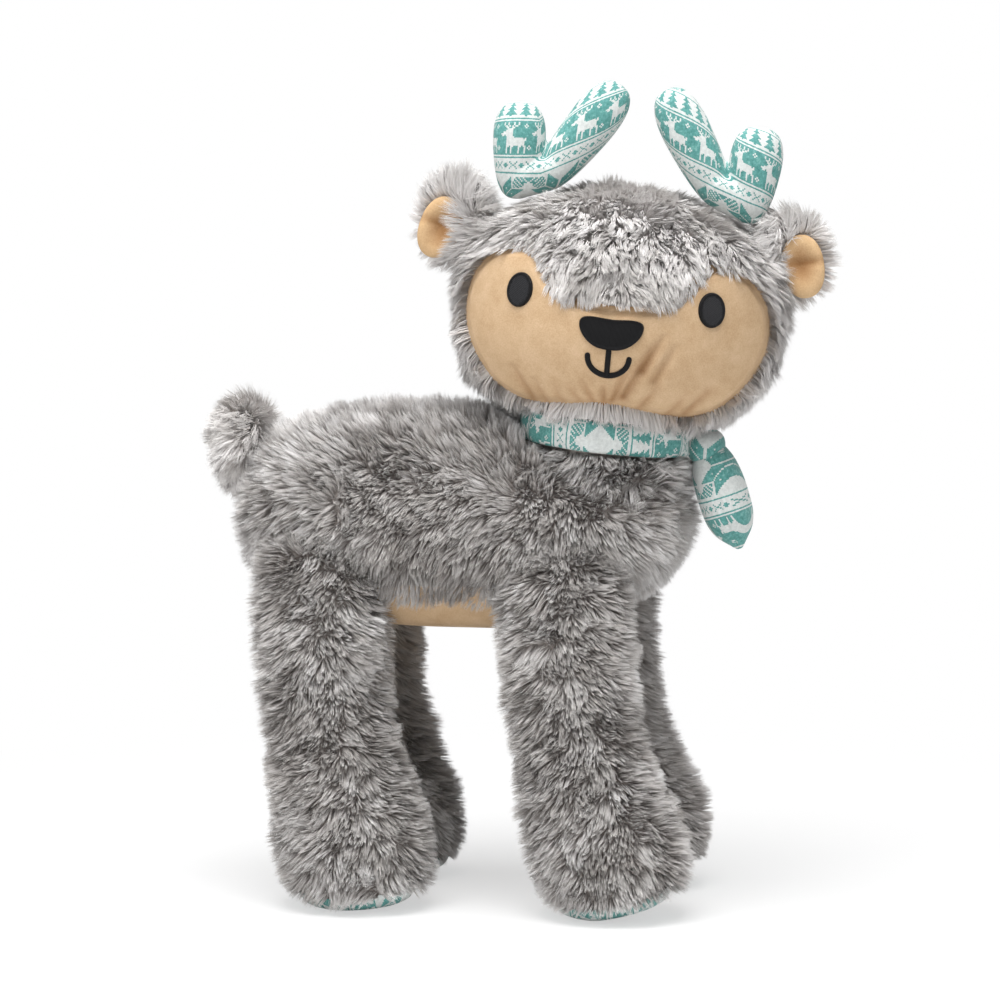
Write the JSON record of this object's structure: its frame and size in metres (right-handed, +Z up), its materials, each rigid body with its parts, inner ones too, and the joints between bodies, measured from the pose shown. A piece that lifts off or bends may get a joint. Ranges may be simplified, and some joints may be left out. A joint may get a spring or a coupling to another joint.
{
  "type": "plush deer",
  "caption": "Standing plush deer with long grey fur, smooth tan face and belly, printed antlers, scarf and soles, stitched features, and a soft head, ears, antlers, tail and scarf end that move",
  "frame": {"origin": "on the ground, under the middle of the bounding box", "axes": "+Z up; the body looks along -Y, its left side is +X; the head is turned to its right, to -X"},
  "size_m": [0.1458, 0.3176, 0.3897],
  "materials": {
    "grey_fur": "long pile plush fur",
    "tan_velour": "short pile velour",
    "printed_velour": "white short pile velour printed in teal",
    "black_thread": "satin stitch",
    "fibre_filling": "loose polyester fibre"
  },
  "bodies": {
    "torso": {"body_cover": "grey_fur", "body_filling": "fibre_filling", "belly_panel": "tan_velour", "front_leg_left_cover": "grey_fur", "front_leg_left_filling": "fibre_filling", "front_leg_left_sole": "printed_velour", "front_leg_right_cover": "grey_fur", "front_leg_right_filling": "fibre_filling", "front_leg_right_sole": "printed_velour", "rear_leg_left_cover": "grey_fur", "rear_leg_left_filling": "fibre_filling", "rear_leg_left_sole": "printed_velour", "rear_leg_right_cover": "grey_fur", "rear_leg_right_filling": "fibre_filling", "rear_leg_right_sole": "printed_velour", "neck": "grey_fur", "scarf_band": "printed_velour", "scarf_knot": "printed_velour"},
    "head": {"head_cover": "grey_fur", "head_filling": "fibre_filling", "face_panel": "tan_velour", "nose_embroidery": "black_thread", "mouth_embroidery": "black_thread", "eye_embroidery_left": "black_thread", "eye_embroidery_right": "black_thread"},
    "ear_left": {"ear_left": "grey_fur", "ear_lining_left": "tan_velour"},
    "ear_right": {"ear_right": "grey_fur", "ear_lining_right": "tan_velour"},
    "antler_left": {"antler_left": "printed_velour"},
    "antler_right": {"antler_right": "printed_velour"},
    "tail": {"tail": "grey_fur"},
    "scarf_end": {"scarf_end": "printed_velour"}
  },
  "joints": [
    {"name": "head_turn", "type": "hinge", "parent": "torso", "child": "head", "pos_m": [0, -0.05062, 0.2859], "axis": [0, -0.1045, 0.9945], "range_deg": [-20, 20], "stiffness_Nm_per_rad": 0.25},
    {"name": "ear_left_fold", "type": "hinge", "parent": "head", "child": "ear_left", "pos_m": [0.0083, -0.13256, 0.31007], "axis": [-0.0253, 0.1379, 0.9901], "range_deg": [-20, 20], "stiffness_Nm_per_rad": 0.02},
    {"name": "ear_right_fold", "type": "hinge", "parent": "head", "child": "ear_right", "pos_m": [-0.0083, 0.0245, 0.32658], "axis": [0.0253, -0.3407, 0.9398], "range_deg": [-20, 20], "stiffness_Nm_per_rad": 0.02},
    {"name": "antler_left_bend", "type": "hinge", "parent": "head", "child": "antler_left", "pos_m": [0.00481, -0.10224, 0.3394], "axis": [0.0982, -0.8937, -0.4378], "range_deg": [-10, 10], "stiffness_Nm_per_rad": 0.06},
    {"name": "antler_right_bend", "type": "hinge", "parent": "head", "child": "antler_right", "pos_m": [-0.00481, -0.01125, 0.34896], "axis": [-0.0982, 0.9652, -0.2425], "range_deg": [-10, 10], "stiffness_Nm_per_rad": 0.06},
    {"name": "tail_bend", "type": "hinge", "parent": "torso", "child": "tail", "pos_m": [0, 0.13378, 0.224], "axis": [1, 0, 0], "range_deg": [-8, 20], "stiffness_Nm_per_rad": 0.06},
    {"name": "scarf_end_swing", "type": "hinge", "parent": "torso", "child": "scarf_end", "pos_m": [0, -0.09598, 0.21233], "axis": [-1, 0, 0], "range_deg": [0, 35], "stiffness_Nm_per_rad": 0.006}
  ]
}
